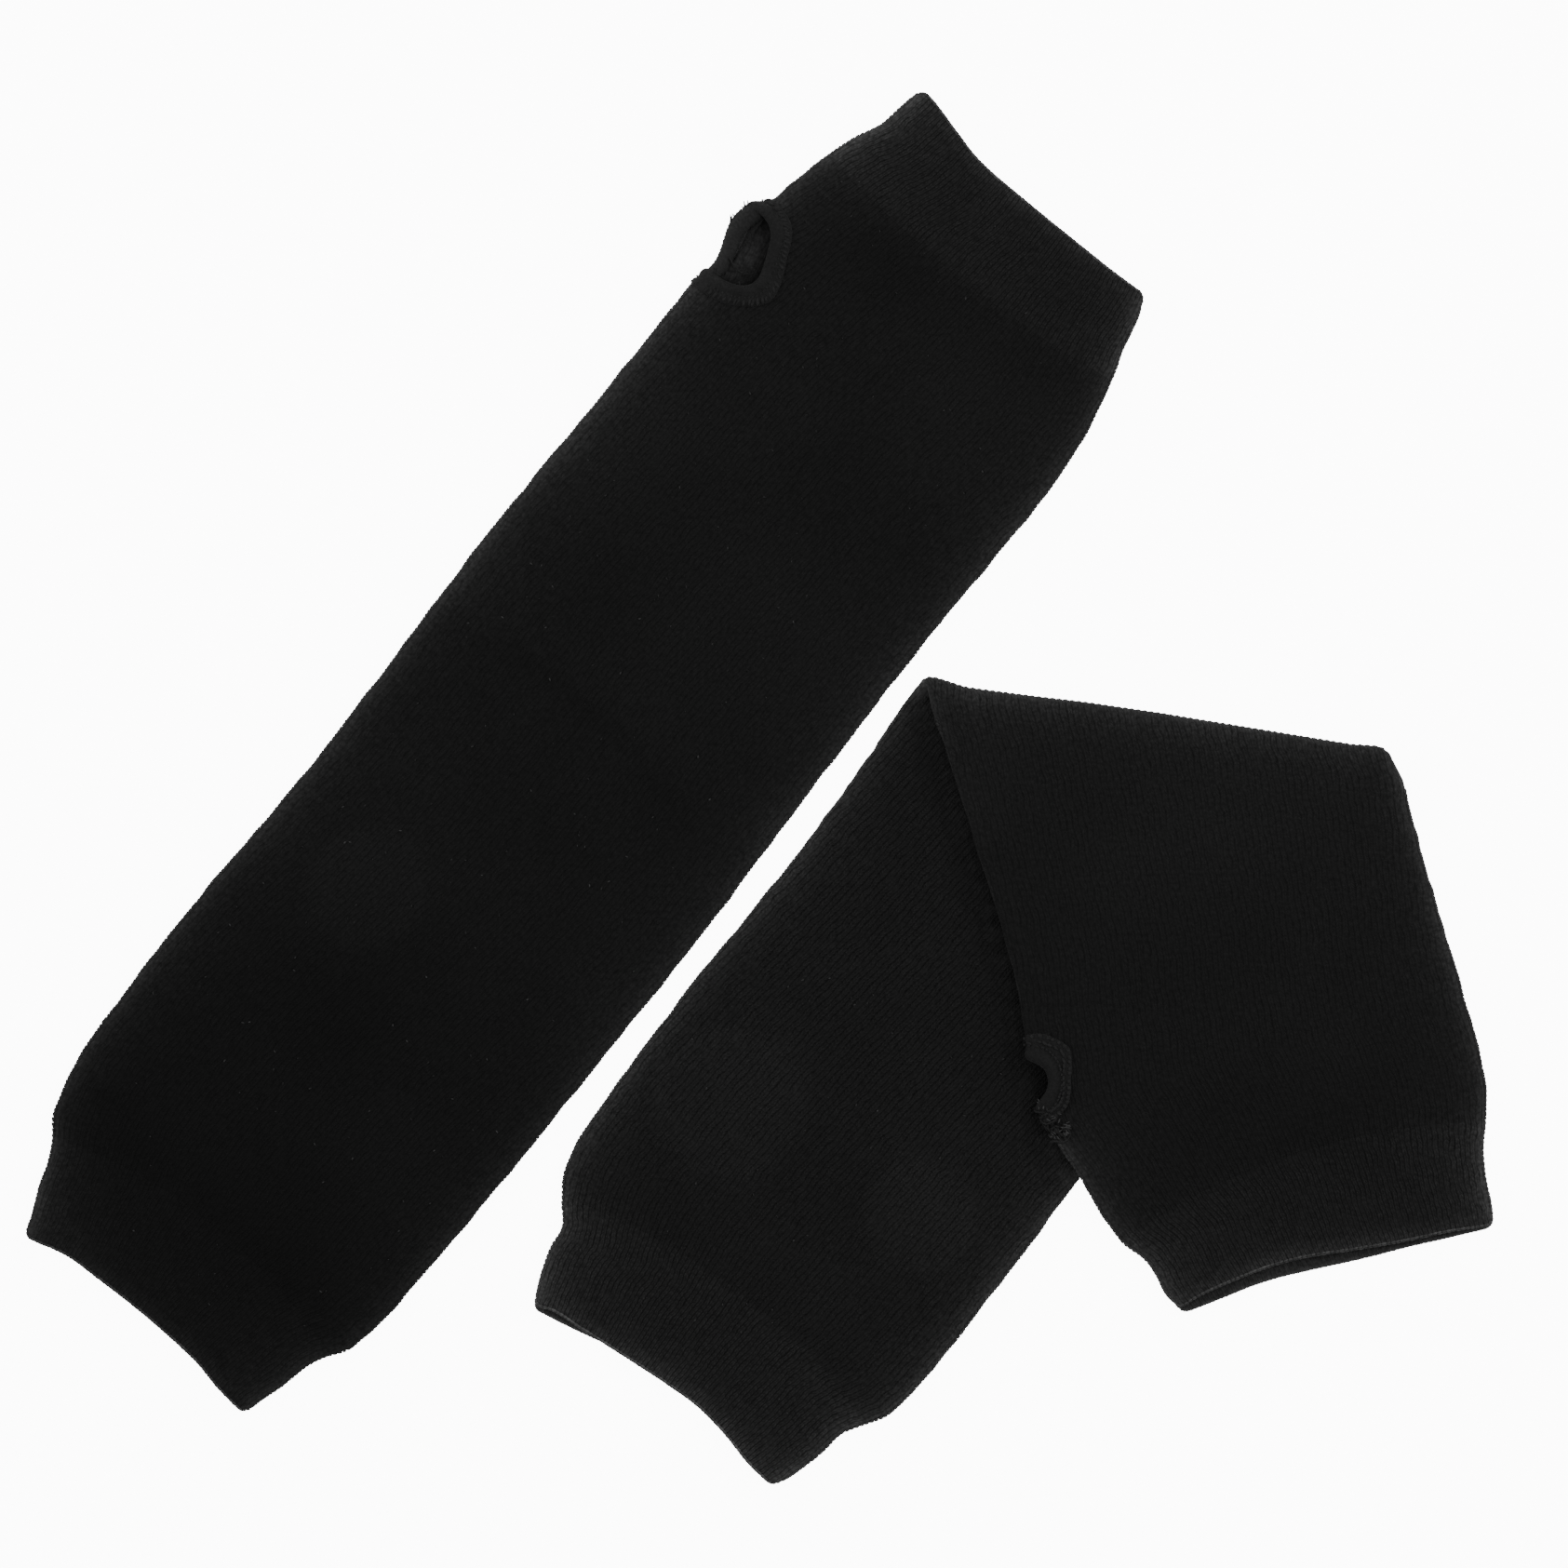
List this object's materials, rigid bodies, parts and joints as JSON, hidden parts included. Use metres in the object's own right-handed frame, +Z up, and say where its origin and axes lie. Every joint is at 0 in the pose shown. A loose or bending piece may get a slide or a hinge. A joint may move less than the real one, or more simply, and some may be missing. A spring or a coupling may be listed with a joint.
{
  "type": "pair of knitted arm sleeves",
  "caption": "Pair of black knitted arm sleeves with ribbed cuffs and a bound thumb hole each, laid flat: one lies straight, the other is folded over once.",
  "frame": {"origin": "centre of the footprint of both sleeves, at the surface that they lie on", "axes": "+X to the right of the picture and along the pair's longest extent, +Y to its top, +Z up from the surface towards the camera"},
  "size_m": [0.3597, 0.3415, 0.0087],
  "materials": {
    "jersey": "fine plain knit in black, soft, with a faint sheen and a fuzzy rim",
    "rib": "fine ribbed knit in black, turned in double at the mouth",
    "binding": "overlock sewing in black yarn, rolled at the rim"
  },
  "bodies": {
    "root": {"straight_body": "jersey", "straight_arm_cuff": "rib", "straight_hand_cuff": "rib", "straight_thumb_binding": "binding", "straight_thumb_binding_under": "binding", "folded_body": "jersey", "folded_arm_cuff": "rib", "folded_hand_cuff": "rib", "folded_thumb_binding": "binding"}
  },
  "joints": []
}
